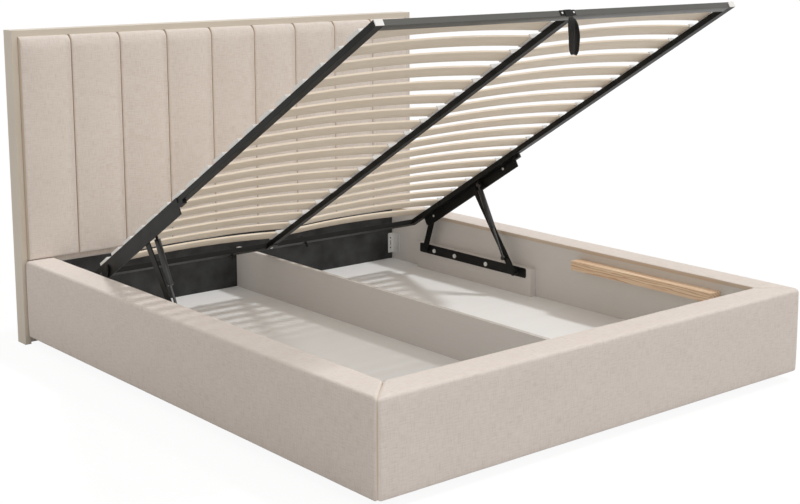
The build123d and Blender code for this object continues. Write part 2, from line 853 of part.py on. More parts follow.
with BuildPart() as corner_brackets:
    corner_mid = (corner_bottom + corner_top) / 2
    corner_height = corner_top - corner_bottom
    for side_name, side in both_sides:
        head_leg_x = side_span(side, inner_panel_face - corner_leg_head, inner_panel_face)
        with BuildSketch(Plane.XZ.offset(-lining_y)):
            with Locations((sum(head_leg_x) / 2, corner_mid)):
                RectangleRounded(corner_leg_head, corner_height, corner_hole_radius)
                with GridLocations(0, corner_height / 2, 1, 2):
                    Circle(corner_hole_radius, mode=Mode.SUBTRACT)
                SlotOverall(corner_slot_length, corner_hole_radius, rotation=90, mode=Mode.SUBTRACT)
        extrude(amount=corner_sheet)
        with BuildSketch(side_plane(side, inner_panel_face - corner_sheet, inner_panel_face)):
            with Locations((lining_y - corner_leg_side / 2, corner_mid)):
                RectangleRounded(corner_leg_side, corner_height, corner_hole_radius)
                with GridLocations(corner_leg_side / 3, corner_height / 2, 2, 2):
                    Circle(corner_hole_radius, mode=Mode.SUBTRACT)
        extrude(amount=corner_sheet)
save(corner_brackets, "corner_brackets")

# Small pressed-steel pieces on the slat frame: two Z hooks, the centre rail's gusset, the strap clip
hook_x = 180
hook_width = 10
hook_sheet = 3
hook_rise = 16
hook_drop = 22
hook_inset = 16
gusset_length = 44
gusset_width = 40
clip_x = -28
clip_plate_width = 66
clip_plate_sheet = 2
clip_bridge_width = 30
clip_bridge_depth = 2.5
clip_bridge_drop = 4

hook_face = frame_length + hook_sheet
with BuildPart() as frame_clips:
    for side_name, side in both_sides:
        hook_span = side_span(side, hook_x - hook_width / 2, hook_x + hook_width / 2)
        with BuildSketch(frame_side_plane(hook_span[0])):
            with BuildLine():
                Polyline(
                    (frame_length, tube_height + hook_rise),
                    (hook_face, tube_height + hook_rise),
                    (hook_face, -hook_sheet),
                    (frame_length - hook_inset + hook_sheet, -hook_sheet),
                    (frame_length - hook_inset + hook_sheet, -hook_drop),
                    (frame_length - hook_inset, -hook_drop),
                    (frame_length - hook_inset, 0),
                    (frame_length, 0),
                    close=True,
                )
            make_face()
        extrude(amount=hook_width)
    with BuildSketch(frame_plane(-hook_sheet)):
        with Locations((0, frame_length - tube_width - gusset_length / 2 + tube_width / 2)):
            Rectangle(gusset_width, gusset_length)
    extrude(amount=hook_sheet)
    clip_plane = frame_end_plane(0)
    with BuildSketch(clip_plane.offset(-clip_plate_sheet)):
        with Locations((-clip_x, tube_height / 2)):
            Rectangle(clip_plate_width, tube_height)
    extrude(amount=clip_plate_sheet)
    bridge_height = tube_height + clip_bridge_drop
    with BuildSketch(clip_plane.offset(-clip_plate_sheet - clip_bridge_depth)):
        with Locations((-clip_x, tube_height - bridge_height / 2)):
            Rectangle(clip_bridge_width, bridge_height)
    extrude(amount=clip_bridge_depth)
save(frame_clips, "frame_clips")

# Bright bolts and rivets on the slat frame
frame_bolt_radius = 5
frame_bolt_height = 2.5
bracket_bolt_foot_inset = 85
bracket_bolt_head_inset = 65
clip_rivet_spacing = 50
clip_rivet_radius = 3.5
clip_rivet_height = 1.5
gusset_bolt_radius = 6

bracket_bolt_places = [bracket_foot_end + bracket_bolt_foot_inset, bracket_head_end - bracket_bolt_head_inset]
with BuildPart() as frame_bolts:
    for side_name, side in both_sides:
        bolt_span = side_span(side, bracket_inner - frame_bolt_height, bracket_inner)
        with BuildSketch(frame_side_plane(bolt_span[0])):
            with Locations(*[(bolt_along, -bracket_drop / 3) for bolt_along in bracket_bolt_places]):
                Circle(frame_bolt_radius)
        extrude(amount=frame_bolt_height)
    with BuildSketch(frame_plane(-hook_sheet - frame_bolt_height)):
        with Locations((0, frame_length - tube_width)):
            Circle(gusset_bolt_radius)
    extrude(amount=frame_bolt_height)
    with BuildSketch(clip_plane.offset(-clip_plate_sheet - clip_rivet_height)):
        with Locations((-clip_x, tube_height / 2)):
            with GridLocations(clip_rivet_spacing, 0, 2, 1):
                Circle(clip_rivet_radius)
    extrude(amount=clip_rivet_height)
save(frame_bolts, "frame_bolts")

# Pull strap: a folded band of webbing that hangs below the clip
strap_offset = 20
strap_width = 44
strap_length = 106
strap_bulge = 6
strap_end_half = 3
strap_pivot_along = -3
strap_pivot_drop = 9

strap_x = clip_x + strap_offset
strap_pivot = open_point(strap_pivot_along, -strap_pivot_drop)
strap_top_z = strap_pivot[1] + strap_end_half
strap_bottom_z = strap_pivot[1] - strap_length
with BuildPart() as pull_strap:
    with BuildSketch(Plane.YZ.offset(strap_x - strap_width / 2)):
        with BuildLine():
            middle_z = (strap_top_z + strap_bottom_z) / 2
            for face in (-1, 1):
                ThreePointArc(
                    (strap_pivot[0] + face * strap_end_half, strap_top_z),
                    (strap_pivot[0] + face * strap_bulge, middle_z),
                    (strap_pivot[0] + face * strap_end_half, strap_bottom_z),
                )
            for end_z in (strap_top_z, strap_bottom_z):
                Line((strap_pivot[0] - strap_end_half, end_z), (strap_pivot[0] + strap_end_half, end_z))
        make_face()
    extrude(amount=strap_width)
save(pull_strap, "pull_strap")

# Places and angles of the joints, for whoever sets the mechanism up
print("rear base pivot", rear_base, "rear top", rear_top)
print("front base pivot", front_base, "front top", front_top)
print("strut base", strut_base, "strut top", strut_top, "length", strut_length)
print("strap pivot", strap_pivot)
for name, base, closed_base, along, above in (
    ("rear link", rear_base, rear_base, rear_pivot_along, -rear_pivot_drop),
    ("front link", front_base, front_base, front_pivot_along, -front_pivot_drop),
    (
        "strut",
        strut_base,
        strut_stud(closed_point(front_pivot_along, -front_pivot_drop)),
        strut_pivot_along,
        -strut_pivot_drop,
    ),
):
    open_yz = open_point(along, above)
    closed_yz = closed_point(along, above)
    open_angle = degrees(atan2(open_yz[1] - base[1], open_yz[0] - base[0]))
    closed_angle = degrees(atan2(closed_yz[1] - closed_base[1], closed_yz[0] - closed_base[0]))
    open_reach = hypot(open_yz[1] - base[1], open_yz[0] - base[0])
    closed_reach = hypot(closed_yz[1] - closed_base[1], closed_yz[0] - closed_base[0])
    print(name, "turn", closed_angle - open_angle, "reach", open_reach, closed_reach)
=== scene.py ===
# Looks of the upholstered storage bed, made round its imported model. Metres, +Z up.
import json
import math

import bmesh
import bpy
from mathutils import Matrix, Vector, kdtree, noise


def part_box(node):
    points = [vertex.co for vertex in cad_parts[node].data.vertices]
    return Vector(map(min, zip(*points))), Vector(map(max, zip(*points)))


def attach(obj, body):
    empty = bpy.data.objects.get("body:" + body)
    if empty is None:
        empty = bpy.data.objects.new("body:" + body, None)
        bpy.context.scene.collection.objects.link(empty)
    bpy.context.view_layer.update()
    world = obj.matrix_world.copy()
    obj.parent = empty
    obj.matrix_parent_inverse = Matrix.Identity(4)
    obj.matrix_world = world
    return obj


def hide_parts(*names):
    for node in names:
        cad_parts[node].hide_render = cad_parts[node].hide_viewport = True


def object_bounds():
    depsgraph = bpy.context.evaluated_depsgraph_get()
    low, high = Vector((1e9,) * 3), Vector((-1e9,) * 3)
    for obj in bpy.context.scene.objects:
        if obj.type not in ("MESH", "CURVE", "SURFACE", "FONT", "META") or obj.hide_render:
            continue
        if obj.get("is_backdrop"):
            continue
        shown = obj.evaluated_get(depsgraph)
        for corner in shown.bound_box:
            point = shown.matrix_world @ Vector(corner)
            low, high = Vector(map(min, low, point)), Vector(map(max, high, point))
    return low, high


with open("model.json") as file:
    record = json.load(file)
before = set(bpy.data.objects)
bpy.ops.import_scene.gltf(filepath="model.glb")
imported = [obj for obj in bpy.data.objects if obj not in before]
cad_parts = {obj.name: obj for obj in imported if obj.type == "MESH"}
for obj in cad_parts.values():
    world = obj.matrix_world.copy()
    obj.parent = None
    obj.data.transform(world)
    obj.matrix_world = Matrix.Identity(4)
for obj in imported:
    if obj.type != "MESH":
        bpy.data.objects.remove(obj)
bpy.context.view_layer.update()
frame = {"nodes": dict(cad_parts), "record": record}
nodes = frame["nodes"]
MM = 0.001

# Camera
CAMERA_PLACE = (-3.2442, -4.0200, 1.5509)
CAMERA_TURN = (90 - 9.698, 0.072, -39.719)
CAMERA_SENSOR = 36
CAMERA_LENS = 65.416
CAMERA_SHIFT = (-0.0131, -0.0900)

camera_data = bpy.data.cameras.new("camera")
camera_data.sensor_width = CAMERA_SENSOR
camera_data.lens = CAMERA_LENS
camera_data.shift_x, camera_data.shift_y = CAMERA_SHIFT
camera = bpy.data.objects.new("camera", camera_data)
camera.location = CAMERA_PLACE
camera.rotation_euler = [math.radians(angle) for angle in CAMERA_TURN]
bpy.context.scene.collection.objects.link(camera)
bpy.context.scene.camera = camera
bpy.context.scene.view_settings.view_transform = "Standard"

# Colours, as they look in plain light
LINEN = (0.838, 0.776, 0.732)
LINEN_SHADE = (0.655, 0.560, 0.490)
BORDER_PAINT = (0.730, 0.665, 0.575)
GREY_LAMINATE = (0.705, 0.680, 0.655)
WHITE_LAMINATE = (0.940, 0.945, 0.945)
FELT = (0.062, 0.063, 0.063)
BLACK_STEEL = (0.010, 0.010, 0.009)
# Painted sheen: a lighter grey copy of the black frame steel, so the foot bar's face looks lit
FOOT_BAR_PAINTED_SHEEN = (0.098, 0.099, 0.088)
BIRCH = (0.970, 0.875, 0.740)
BIRCH_DARK = (0.790, 0.660, 0.510)
PINE = (0.930, 0.760, 0.560)
PINE_DARK = (0.580, 0.340, 0.190)
BOARD = (0.720, 0.600, 0.450)
BOARD_DARK = (0.500, 0.390, 0.270)
WHITE_PLASTIC = (0.950, 0.950, 0.940)
BLACK_PLASTIC = (0.030, 0.030, 0.030)
ZINC = (0.860, 0.860, 0.850)
ROD_STEEL = (0.075, 0.075, 0.072)
WEBBING = (0.012, 0.012, 0.012)
BACK_CLOTH = (0.075, 0.073, 0.072)
# Painted shade: this tan-brown goes on the covers' inner lip, their mitre seams and along the channels'
# seams, where they lie in shade
SEAM_SHADE_COLOUR = (0.640, 0.530, 0.420)
WHITE = (1.0, 1.0, 1.0)
# Brightness of the floor, as seen and as it lights the bed
FLOOR_SEEN = 0.92
FLOOR_BOUNCE = 0.50


def shade(colour, amount):
    return tuple(min(1.0, part * amount) for part in colour)


# Small helpers for node trees
def add(tree, kind, inputs=None, **attributes):
    """A new node. Input values that are sockets are linked, all others are set."""
    made = tree.nodes.new(kind)
    for name, value in attributes.items():
        setattr(made, name, value)
    for name, value in (inputs or {}).items():
        if isinstance(value, bpy.types.NodeSocket):
            tree.links.new(value, made.inputs[name])
        else:
            if isinstance(value, tuple) and made.inputs[name].type == "RGBA":
                value = (*value, 1.0)
            made.inputs[name].default_value = value
    return made


def maths(tree, operation, first, second=0.0, third=None):
    inputs = {0: first, 1: second}
    if third is not None:
        inputs[2] = third
    return add(tree, "ShaderNodeMath", inputs, operation=operation).outputs[0]


def blend_colour(tree, share, first, second):
    made = add(tree, "ShaderNodeMix", data_type="RGBA")
    for index, value in ((0, share), (6, first), (7, second)):
        if isinstance(value, bpy.types.NodeSocket):
            tree.links.new(value, made.inputs[index])
        else:
            made.inputs[index].default_value = (*value, 1.0) if isinstance(value, tuple) else value
    return made.outputs[2]


def stretched_noise(tree, vector, scale, detail=3.0, distortion=0.0):
    """Noise whose scale may differ along the three axes, in repeats per metre."""
    sized = add(tree, "ShaderNodeVectorMath", {0: vector, 1: scale}, operation="MULTIPLY").outputs[0]
    made = add(
        tree,
        "ShaderNodeTexNoise",
        {"Vector": sized, "Scale": 1.0, "Detail": detail, "Distortion": distortion},
    )
    return made.outputs["Fac"]


def spread(tree, value, low, high, new_low=0.0, new_high=1.0):
    inputs = {"Value": value, 1: low, 2: high, 3: new_low, 4: new_high}
    return add(tree, "ShaderNodeMapRange", inputs).outputs["Result"]


def new_group(name, inputs, outputs):
    """An empty node group with the sockets named. Returns it with its two end nodes."""
    tree = bpy.data.node_groups.new(name, "ShaderNodeTree")
    for label, kind in inputs:
        tree.interface.new_socket(label, in_out="INPUT", socket_type=kind)
    for label, kind in outputs:
        tree.interface.new_socket(label, in_out="OUTPUT", socket_type=kind)
    return tree, tree.nodes.new("NodeGroupInput"), tree.nodes.new("NodeGroupOutput")


NUMBER, COLOUR, VECTOR = "NodeSocketFloat", "NodeSocketColor", "NodeSocketVector"

# A face belongs to the side or the top when its normal points there by more than this
FACING = 0.7
# Noise in repeats per metre: a slub along its thread and across it, and soft clouds
SLUB_ALONG = 30.0
SLUB_ACROSS = 330.0
CLOTH_CLOUD = (7.0, 7.0, 1.0)
WOOD_FIBRE = (4.0, 330.0, 330.0)
WOOD_CLOUD = (2.2, 14.0, 14.0)
# How the year rings are drawn out along the wood, and how narrow their dark lines are
RING_STRETCH = (0.12, 1.0, 1.0)
RING_SHARPNESS = 3.5
# Relief of the surfaces: strength and depth
CLOTH_RELIEF = (0.35, 0.5 * MM)
WOOD_RELIEF = (0.25, 0.25 * MM)
COATING_DEPTH = 0.4 * MM
# How far the roughness varies
CLOTH_VARIES = 0.06
WOOD_VARIES = 0.08
COATING_VARIES = 0.07
CLOTH_SHEEN_ROUGHNESS = 0.6
CLOTH_SHINE = 0.25
# Each separate board or slat takes its grain from another place
GRAIN_SHIFT = 7.0
# Parts of the fine and the broad pattern in a coating's tone
FINE_PART = 0.4
BROAD_PART = 0.6


def woven_cloth_group():
    """Plain weave with slubs both ways. Threads follow the two long ways of each face."""
    tree, start, end = new_group(
        "woven_cloth",
        [("Threads", NUMBER), ("Slub", NUMBER), ("Base", COLOUR), ("Shade", COLOUR)],
        [("Color", COLOUR), ("Height", NUMBER), ("Mask", NUMBER)],
    )
    place = add(tree, "ShaderNodeTexCoord")
    xyz = add(tree, "ShaderNodeSeparateXYZ", {0: place.outputs["Object"]})
    facing = add(tree, "ShaderNodeSeparateXYZ", {0: place.outputs["Normal"]})
    side = maths(tree, "GREATER_THAN", maths(tree, "ABSOLUTE", facing.outputs[0]), FACING)
    top = maths(tree, "GREATER_THAN", maths(tree, "ABSOLUTE", facing.outputs[2]), FACING)
    across = add(tree, "ShaderNodeMix", {0: side, 2: xyz.outputs[0], 3: xyz.outputs[1]}).outputs[0]
    along = add(tree, "ShaderNodeMix", {0: top, 2: xyz.outputs[2], 3: xyz.outputs[1]}).outputs[0]
    flat = add(tree, "ShaderNodeCombineXYZ", {0: across, 1: along}).outputs[0]
    weft = stretched_noise(tree, flat, (SLUB_ALONG, SLUB_ACROSS, 1.0), detail=4.0)
    warp = stretched_noise(tree, flat, (SLUB_ACROSS, SLUB_ALONG, 1.0), detail=4.0)
    slub = maths(tree, "ADD", spread(tree, weft, 0.44, 0.70), spread(tree, warp, 0.46, 0.72))
    slub = maths(tree, "MULTIPLY", slub, 0.5)
    broad = spread(tree, stretched_noise(tree, flat, CLOTH_CLOUD, detail=2.0), 0.3, 0.7)
    threads_u = maths(tree, "SINE", maths(tree, "MULTIPLY", across, start.outputs["Threads"]))
    threads_v = maths(tree, "SINE", maths(tree, "MULTIPLY", along, start.outputs["Threads"]))
    weave = maths(tree, "MULTIPLY", threads_u, threads_v)
    tone = maths(tree, "MULTIPLY", slub, start.outputs["Slub"])
    tone = maths(tree, "MULTIPLY_ADD", broad, 0.10, tone)
    tone = maths(tree, "MULTIPLY_ADD", weave, 0.05, tone)
    dyed = blend_colour(tree, tone, start.outputs["Base"], start.outputs["Shade"])
    tree.links.new(dyed, end.inputs[0])
    height = maths(tree, "MULTIPLY_ADD", slub, 0.5, maths(tree, "MULTIPLY", weave, 0.35))
    tree.links.new(height, end.inputs[1])
    tree.links.new(slub, end.inputs[2])
    return tree


def wood_grain_group():
    """Lengthwise grain. The vector's first part runs along the piece."""
    tree, start, end = new_group(
        "wood_grain",
        [
            ("Vector", VECTOR),
            ("Rings", NUMBER),
            ("Ring Share", NUMBER),
            ("Base", COLOUR),
            ("Shade", COLOUR),
        ],
        [("Color", COLOUR), ("Height", NUMBER), ("Mask", NUMBER)],
    )
    vector = start.outputs["Vector"]
    fibre = stretched_noise(tree, vector, WOOD_FIBRE, detail=4.0)
    cloud = stretched_noise(tree, vector, WOOD_CLOUD, detail=2.0)
    bend = add(tree, "ShaderNodeVectorMath", {0: vector, 1: RING_STRETCH}, operation="MULTIPLY")
    rings = add(
        tree,
        "ShaderNodeTexWave",
        {
            "Vector": bend.outputs[0],
            "Scale": start.outputs["Rings"],
            "Distortion": 7.0,
            "Detail": 2.0,
            "Detail Scale": 0.6,
        },
        wave_type="RINGS",
        rings_direction="X",
        wave_profile="SAW",
    ).outputs["Fac"]
    tone = maths(tree, "MULTIPLY", spread(tree, fibre, 0.35, 0.75), 0.45)
    tone = maths(tree, "MULTIPLY_ADD", spread(tree, cloud, 0.3, 0.7), 0.25, tone)
    lines = maths(tree, "POWER", rings, RING_SHARPNESS)
    ringed = maths(tree, "MULTIPLY", lines, start.outputs["Ring Share"])
    tone = maths(tree, "ADD", tone, ringed)
    grained = blend_colour(tree, tone, start.outputs["Base"], start.outputs["Shade"])
    tree.links.new(grained, end.inputs[0])
    tree.links.new(maths(tree, "ADD", fibre, ringed), end.inputs[1])
    tree.links.new(tone, end.inputs[2])
    return tree


def mottle_group():
    """Fine grain over soft clouds, for coatings, felt, plastic and laminate."""
    tree, start, end = new_group(
        "mottle",
        [("Vector", VECTOR), ("Fine", NUMBER), ("Broad", NUMBER)],
        [("Fine Mask", NUMBER), ("Broad Mask", NUMBER), ("Height", NUMBER)],
    )
    masks = []
    for label, detail in (("Fine", 2.0), ("Broad", 4.0)):
        made = add(
            tree,
            "ShaderNodeTexNoise",
            {"Vector": start.outputs["Vector"], "Scale": start.outputs[label], "Detail": detail},
        )
        masks.append(spread(tree, made.outputs["Fac"], 0.3, 0.7))
    tree.links.new(masks[0], end.inputs[0])
    tree.links.new(masks[1], end.inputs[1])
    tree.links.new(maths(tree, "MULTIPLY_ADD", masks[1], 0.3, masks[0]), end.inputs[2])
    return tree


woven_cloth = woven_cloth_group()
wood_grain = wood_grain_group()
mottle = mottle_group()


def new_material(name):
    """A material with only its surface shader. Returns it, its tree and that shader."""
    material = bpy.data.materials.new(name)
    material.use_nodes = True
    tree = material.node_tree
    return material, tree, tree.nodes["Principled BSDF"]


def use_group(tree, group, inputs):
    made = tree.nodes.new("ShaderNodeGroup")
    made.node_tree = group
    for name, value in inputs.items():
        if isinstance(value, bpy.types.NodeSocket):
            tree.links.new(value, made.inputs[name])
        else:
            made.inputs[name].default_value = (*value, 1.0) if isinstance(value, tuple) else value
    return made


def raise_surface(tree, shader, height, strength, depth):
    bump = add(tree, "ShaderNodeBump", {"Height": height, "Strength": strength, "Distance": depth})
    tree.links.new(bump.outputs[0], shader.inputs["Normal"])


def cloth_material(name, base, dark, threads, slub, roughness=0.92, sheen=0.25):
    material, tree, shader = new_material(name)
    inputs = {"Threads": threads, "Slub": slub, "Base": base, "Shade": dark}
    weave = use_group(tree, woven_cloth, inputs)
    # Painted shade: where the mesh's seam attribute is set, the cloth takes the painted tan-brown seam
    # shade
    seam_shade = add(tree, "ShaderNodeAttribute", attribute_name="painted_seam_shade").outputs["Fac"]
    tone = blend_colour(tree, seam_shade, weave.outputs["Color"], SEAM_SHADE_COLOUR)
    tree.links.new(tone, shader.inputs["Base Color"])
    rough = spread(tree, weave.outputs["Mask"], 0.0, 1.0, roughness - CLOTH_VARIES, roughness)
    tree.links.new(rough, shader.inputs["Roughness"])
    shader.inputs["Sheen Weight"].default_value = sheen
    shader.inputs["Sheen Roughness"].default_value = CLOTH_SHEEN_ROUGHNESS
    shader.inputs["Specular IOR Level"].default_value = CLOTH_SHINE
    raise_surface(tree, shader, weave.outputs["Height"], *CLOTH_RELIEF)
    return material


def wood_material(name, base, dark, turn, squash, rings, ring_share, roughness, vary=0.0):
    """turn maps the piece's long way onto the grain's first axis, squash sets its size each way."""
    material, tree, shader = new_material(name)
    place = add(tree, "ShaderNodeTexCoord")
    mapping = {0: place.outputs["Object"], "Rotation": turn, "Scale": squash}
    turned = add(tree, "ShaderNodeMapping", mapping).outputs[0]
    island = add(tree, "ShaderNodeNewGeometry").outputs["Random Per Island"]
    shift = maths(tree, "MULTIPLY", island, GRAIN_SHIFT)
    shifts = add(tree, "ShaderNodeCombineXYZ", {0: shift, 1: island}).outputs[0]
    moved = add(tree, "ShaderNodeVectorMath", {0: turned, 1: shifts}, operation="ADD").outputs[0]
    inputs = {"Vector": moved, "Rings": rings, "Ring Share": ring_share, "Base": base, "Shade": dark}
    grain = use_group(tree, wood_grain, inputs)
    darker = maths(tree, "MULTIPLY", island, vary)
    tone = blend_colour(tree, darker, grain.outputs["Color"], shade(dark, 1.05))
    tree.links.new(tone, shader.inputs["Base Color"])
    least, most = roughness - WOOD_VARIES, roughness + WOOD_VARIES
    rough = spread(tree, grain.outputs["Mask"], 0.0, 1.0, least, most)
    tree.links.new(rough, shader.inputs["Roughness"])
    raise_surface(tree, shader, grain.outputs["Height"], *WOOD_RELIEF)
    return material


def coated_material(
    name, base, dark, fine, broad, roughness, metallic=0.0, bump=0.12, coat=0.0, stretch=None, shine=0.5
):
    """fine and broad are the repeats per metre of the two patterns between base and dark."""
    material, tree, shader = new_material(name)
    vector = add(tree, "ShaderNodeTexCoord").outputs["Object"]
    if stretch:
        inputs = {0: vector, 1: stretch}
        vector = add(tree, "ShaderNodeVectorMath", inputs, operation="MULTIPLY").outputs[0]
    grain = use_group(tree, mottle, {"Vector": vector, "Fine": fine, "Broad": broad})
    clouds = maths(tree, "MULTIPLY", grain.outputs["Broad Mask"], BROAD_PART)
    share = maths(tree, "MULTIPLY_ADD", grain.outputs["Fine Mask"], FINE_PART, clouds)
    tree.links.new(blend_colour(tree, share, base, dark), shader.inputs["Base Color"])
    least, most = roughness - COATING_VARIES, roughness + COATING_VARIES
    rough = spread(tree, share, 0.0, 1.0, least, most)
    tree.links.new(rough, shader.inputs["Roughness"])
    shader.inputs["Metallic"].default_value = metallic
    shader.inputs["Coat Weight"].default_value = coat
    shader.inputs["Specular IOR Level"].default_value = shine
    raise_surface(tree, shader, grain.outputs["Height"], bump, COATING_DEPTH)
    return material


linen = cloth_material("linen", LINEN, LINEN_SHADE, threads=2600.0, slub=0.78)
back_cloth = cloth_material("back_cloth", BACK_CLOTH, shade(BACK_CLOTH, 0.5), threads=3600.0, slub=0.4)
webbing = cloth_material(
    "webbing", WEBBING, shade(WEBBING, 3.0), threads=2200.0, slub=0.5, roughness=0.6, sheen=0.1
)
border_paint = coated_material(
    "border_paint",
    BORDER_PAINT,
    shade(BORDER_PAINT, 0.93),
    fine=900.0,
    broad=3.0,
    roughness=0.5,
    bump=0.06,
)
grey_laminate = coated_material(
    "grey_laminate",
    GREY_LAMINATE,
    shade(GREY_LAMINATE, 0.93),
    fine=300.0,
    broad=6.0,
    roughness=0.55,
    bump=0.05,
    stretch=(1.0, 0.06, 1.0),
)
white_laminate = coated_material(
    "white_laminate",
    WHITE_LAMINATE,
    shade(WHITE_LAMINATE, 0.94),
    fine=260.0,
    broad=9.0,
    roughness=0.5,
    bump=0.05,
    stretch=(0.08, 1.0, 1.0),
)
felt = coated_material(
    "felt",
    shade(FELT, 1.25),
    shade(FELT, 0.35),
    fine=1400.0,
    broad=11.0,
    roughness=0.95,
    bump=0.5,
    shine=0.1,
)
black_steel = coated_material(
    "black_steel",
    BLACK_STEEL,
    shade(BLACK_STEEL, 0.75),
    fine=1300.0,
    broad=12.0,
    roughness=0.42,
    bump=0.08,
    shine=0.18,
)
foot_bar_painted_sheen = coated_material(
    "foot_bar_painted_sheen",
    FOOT_BAR_PAINTED_SHEEN,
    shade(FOOT_BAR_PAINTED_SHEEN, 0.8),
    fine=1300.0,
    broad=12.0,
    roughness=0.36,
    bump=0.08,
)
gas_tube = coated_material(
    "gas_tube",
    BLACK_STEEL,
    shade(BLACK_STEEL, 0.7),
    fine=700.0,
    broad=20.0,
    roughness=0.32,
    bump=0.04,
    coat=0.22,
    shine=0.4,
)
rod_steel = coated_material(
    "rod_steel",
    ROD_STEEL,
    shade(ROD_STEEL, 0.8),
    fine=900.0,
    broad=30.0,
    roughness=0.25,
    metallic=1.0,
    bump=0.03,
)
zinc = coated_material(
    "zinc", ZINC, shade(ZINC, 0.85), fine=1200.0, broad=60.0, roughness=0.4, metallic=0.3, bump=0.06
)
white_plastic = coated_material(
    "white_plastic", WHITE_PLASTIC, shade(WHITE_PLASTIC, 0.96), fine=1500.0, broad=30.0, roughness=0.45
)
black_plastic = coated_material(
    "black_plastic", BLACK_PLASTIC, shade(BLACK_PLASTIC, 1.8), fine=1500.0, broad=30.0, roughness=0.5
)
birch = wood_material(
    "birch",
    BIRCH,
    BIRCH_DARK,
    turn=(0.0, 0.0, 0.0),
    squash=(1.0, 1.0, 1.0),
    rings=2.0,
    ring_share=0.12,
    roughness=0.5,
    vary=0.25,
)
pine = wood_material(
    "pine",
    PINE,
    PINE_DARK,
    turn=(0.0, 0.0, math.radians(90)),
    squash=(0.3, 1.0, 1.0),
    rings=75.0,
    ring_share=1.0,
    roughness=0.6,
)
board = coated_material("board", BOARD, BOARD_DARK, fine=420.0, broad=30.0, roughness=0.85, bump=0.5)


# Mesh helpers
def finish_mesh(name, bm, material, sharp=45):
    bmesh.ops.recalc_face_normals(bm, faces=bm.faces)
    mesh = bpy.data.meshes.new(name)
    bm.to_mesh(mesh)
    bm.free()
    mesh.polygons.foreach_set("use_smooth", [True] * len(mesh.polygons))
    mesh.set_sharp_from_angle(angle=math.radians(sharp))
    mesh.materials.append(material)
    piece = bpy.data.objects.new(name, mesh)
    bpy.context.scene.collection.objects.link(piece)
    return piece


def smooth_noise(point, size, seed):
    """Soft unevenness from -1 to 1 with lumps of about the size given."""
    return noise.noise(Vector(point) / size + Vector((seed * 7.3, seed * 3.1, seed * 5.7)))


def arc(centre, radius, start, stop, steps):
    turns = [math.radians(start + (stop - start) * step / steps) for step in range(steps + 1)]
    return [(centre[0] + radius * math.cos(turn), centre[1] + radius * math.sin(turn)) for turn in turns]


def run(start, stop, steps):
    """Points between two ends, without the ends."""
    shares = [step / steps for step in range(1, steps)]
    return [(start[0] + (stop[0] - start[0]) * s, start[1] + (stop[1] - start[1]) * s) for s in shares]


def spaced(length, near_start, near_end, end_step, middle_step):
    """Distances from 0 to length, close together near both ends."""
    places, at = [], 0.0
    while at < length:
        places.append(at)
        close = at < near_start or at > length - near_end
        at += end_step if close else min(middle_step, max(end_step, length - near_end - at))
    places.append(length)
    return places


# Rail covers
RAIL_WIDTH = 112 * MM
RAIL_HEIGHT = 326 * MM
RAIL_GAP = 31 * MM
PAD = 15 * MM
COVER_EDGE = 11 * MM
COVER_FOOT = 6 * MM
LIP_EDGE = 4 * MM
LIP_DROP = 15 * MM
LIP_THICK = 2 * MM
LIP_POINTS = 5
MITRE_ROUND = 13 * MM
END_ROUND = 15 * MM
CORNER_SLIT = 1.0 * MM
# Painted shade: width of the tan-brown strip at each mitre seam
MITRE_SHADE_WIDTH = 3.5 * MM
HEAD_GAP = 1.5 * MM
# How far the outer side swells, how far the top does, and how sharply each swelling fades
RAIL_CROWN = 2.2 * MM
TOP_CROWN = 1.2 * MM
CROWN_POWER = 4
TOP_POWER = 6
# Unevenness of the cloth: height and size of its lumps
COVER_LUMPS = (0.7 * MM, 160 * MM)
COVER_RIPPLES = (0.35 * MM, 50 * MM)
TOP_LUMPS = (0.6 * MM, 120 * MM)
# Part of an end's rounding that also lowers the top
TOP_INSET = 0.6


def cover_outline():
    """Skin of a cover from the inner lip over the top to the underside, then its inner side."""
    skin = [(0.0, RAIL_HEIGHT - LIP_DROP)]
    skin += run((0.0, RAIL_HEIGHT - LIP_DROP), (0.0, RAIL_HEIGHT - LIP_EDGE), steps=3)
    skin += arc((LIP_EDGE, RAIL_HEIGHT - LIP_EDGE), LIP_EDGE, 180, 90, steps=4)
    skin += run((LIP_EDGE, RAIL_HEIGHT), (RAIL_WIDTH - COVER_EDGE, RAIL_HEIGHT), steps=9)
    skin += arc((RAIL_WIDTH - COVER_EDGE, RAIL_HEIGHT - COVER_EDGE), COVER_EDGE, 90, 0, steps=8)
    outer_top = (RAIL_WIDTH, RAIL_HEIGHT - COVER_EDGE)
    skin += run(outer_top, (RAIL_WIDTH, RAIL_GAP + COVER_FOOT), steps=20)
    skin += arc((RAIL_WIDTH - COVER_FOOT, RAIL_GAP + COVER_FOOT), COVER_FOOT, 0, -90, steps=4)
    inner = [(RAIL_WIDTH - PAD, RAIL_GAP), (RAIL_WIDTH - PAD, RAIL_HEIGHT - PAD)]
    inner += [(LIP_THICK, RAIL_HEIGHT - PAD), (LIP_THICK, RAIL_HEIGHT - LIP_DROP)]
    return skin, inner


def end_inset(distance, radius):
    """How far a cover draws in at a distance from its rounded end."""
    if distance >= radius:
        return 0.0
    return radius - math.sqrt(radius**2 - (radius - distance) ** 2)


